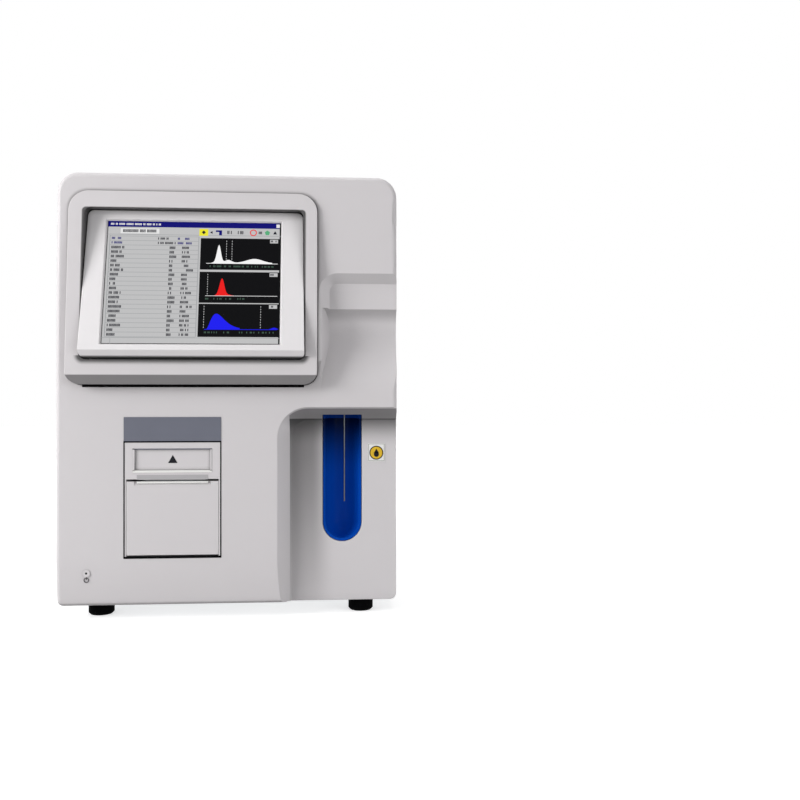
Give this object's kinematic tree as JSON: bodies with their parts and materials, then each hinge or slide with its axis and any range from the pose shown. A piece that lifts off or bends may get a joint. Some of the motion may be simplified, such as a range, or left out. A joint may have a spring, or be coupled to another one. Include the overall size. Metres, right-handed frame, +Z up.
{
  "type": "hematology analyzer",
  "caption": "Benchtop blood cell analyzer with a tilted screen, a panel printer, and a sample probe in front of a blue start paddle.",
  "frame": {"origin": "on the table, under the middle of the bounding box", "axes": "+Z up, front faces -Y, +X to the user's right"},
  "size_m": [0.33, 0.399, 0.4355],
  "materials": {
    "case_plastic": "satin",
    "case_steel": "satin",
    "blue_plastic": "gloss",
    "display": "gloss",
    "steel": "satin",
    "zinc": "satin",
    "rubber": "satin",
    "black_plastic": "satin",
    "board": "satin",
    "clear_plastic": "gloss",
    "aluminium": "satin",
    "led": "satin",
    "brass": "satin",
    "motor_black": "satin",
    "white_plastic": "satin"
  },
  "bodies": {
    "root": {"base_plate": "zinc", "bath_bracket": "zinc", "chassis_wall": "zinc", "door_catch": "black_plastic", "door_hinge_pins": "steel", "driver_board": "board", "earth_terminal": "brass", "fan_frame": "black_plastic", "fan_guard": "steel", "foot_front_left": "rubber", "foot_front_right": "rubber", "foot_rear_left": "rubber", "foot_rear_right": "rubber", "front_cover": "case_plastic", "fuse_drawer": "black_plastic", "guide_rods": "steel", "lcd_module": "zinc", "lcd_panel": "display", "left_cover": "case_steel", "main_board": "board", "paddle_pins": "steel", "peripheral_ports": "black_plastic", "power_inlet": "black_plastic", "power_led": "led", "power_supply": "zinc", "print_head": "aluminium", "printer_door_pins": "steel", "printer_frame": "case_plastic", "probe_motor": "motor_black", "reagent_fittings": "white_plastic", "rear_panel": "case_steel", "red_cell_bath": "clear_plastic", "sampling_frame": "zinc", "screen_bezel": "case_plastic", "screen_surround": "case_plastic", "serial_port": "steel", "solenoid_valves": "white_plastic", "syringe_barrels": "clear_plastic", "syringe_bracket": "zinc", "syringe_motor": "motor_black", "top_cover": "case_steel", "usb_ports": "steel", "vacuum_chamber": "clear_plastic", "valve_manifold": "clear_plastic", "wash_block": "white_plastic", "waste_pump": "motor_black", "white_cell_bath": "clear_plastic"},
    "printer_door": {"printer_door": "case_plastic"},
    "platen": {"platen_roller": "rubber"},
    "printer_latch": {"printer_latch": "case_plastic"},
    "start_paddle": {"start_paddle": "blue_plastic"},
    "probe_carriage": {"probe_carriage": "aluminium", "sample_probe": "steel"},
    "probe_screw": {"probe_screw": "steel"},
    "service_door": {"service_door": "case_steel"},
    "power_rocker": {"power_rocker": "black_plastic"},
    "fan_rotor": {"fan_rotor": "black_plastic"},
    "syringe_plungers": {"syringe_plungers": "aluminium"},
    "syringe_screw": {"syringe_screw": "steel"}
  },
  "joints": [
    {"name": "printer_door_hinge", "type": "hinge", "parent": "root", "child": "printer_door", "pos_m": [-0.0536, -0.178, 0.0672], "axis": [1, 0, 0], "range_deg": [0, 90]},
    {"name": "platen_spin", "type": "hinge", "parent": "printer_door", "child": "platen", "pos_m": [-0.0536, -0.1715, 0.128], "axis": [1, 0, 0], "continuous": true},
    {"name": "printer_latch_press", "type": "slide", "parent": "root", "child": "printer_latch", "axis": [0, 1, 0], "range_m": [0, 0.002], "stiffness_N_per_m": 600, "springref_m": -0.001},
    {"name": "start_paddle_press", "type": "hinge", "parent": "root", "child": "start_paddle", "pos_m": [0.111, -0.1565, 0.208], "axis": [1, 0, 0], "range_deg": [0, 3], "stiffness_Nm_per_rad": 1.5},
    {"name": "probe_lift", "type": "slide", "parent": "root", "child": "probe_carriage", "axis": [0, 0, 1], "range_m": [0, 0.086]},
    {"name": "probe_screw_spin", "type": "hinge", "parent": "root", "child": "probe_screw", "pos_m": [0.1133, -0.1245, 0.28], "axis": [0, 0, 1], "range_deg": [-3872, 0]},
    {"name": "service_door_hinge", "type": "hinge", "parent": "root", "child": "service_door", "pos_m": [0.159, 0.1645, 0.2], "axis": [0, 0, 1], "range_deg": [0, 90]},
    {"name": "power_rocker_tilt", "type": "hinge", "parent": "root", "child": "power_rocker", "pos_m": [-0.115, 0.1815, 0.088], "axis": [1, 0, 0], "range_deg": [0, 12]},
    {"name": "fan_spin", "type": "hinge", "parent": "root", "child": "fan_rotor", "pos_m": [-0.105, 0.1695, 0.34], "axis": [0, 1, 0], "continuous": true},
    {"name": "syringe_stroke", "type": "slide", "parent": "root", "child": "syringe_plungers", "axis": [0, 0, 1], "range_m": [-0.048, 0]},
    {"name": "syringe_screw_spin", "type": "hinge", "parent": "root", "child": "syringe_screw", "pos_m": [0.076, 0.068, 0.15], "axis": [0, 0, 1], "range_deg": [0, 2882]}
  ],
  "couplings": [
    {"joint": "probe_screw_spin", "follows": "probe_lift", "rad_per_m": -785.4},
    {"joint": "syringe_screw_spin", "follows": "syringe_stroke", "rad_per_m": -1047.2}
  ]
}
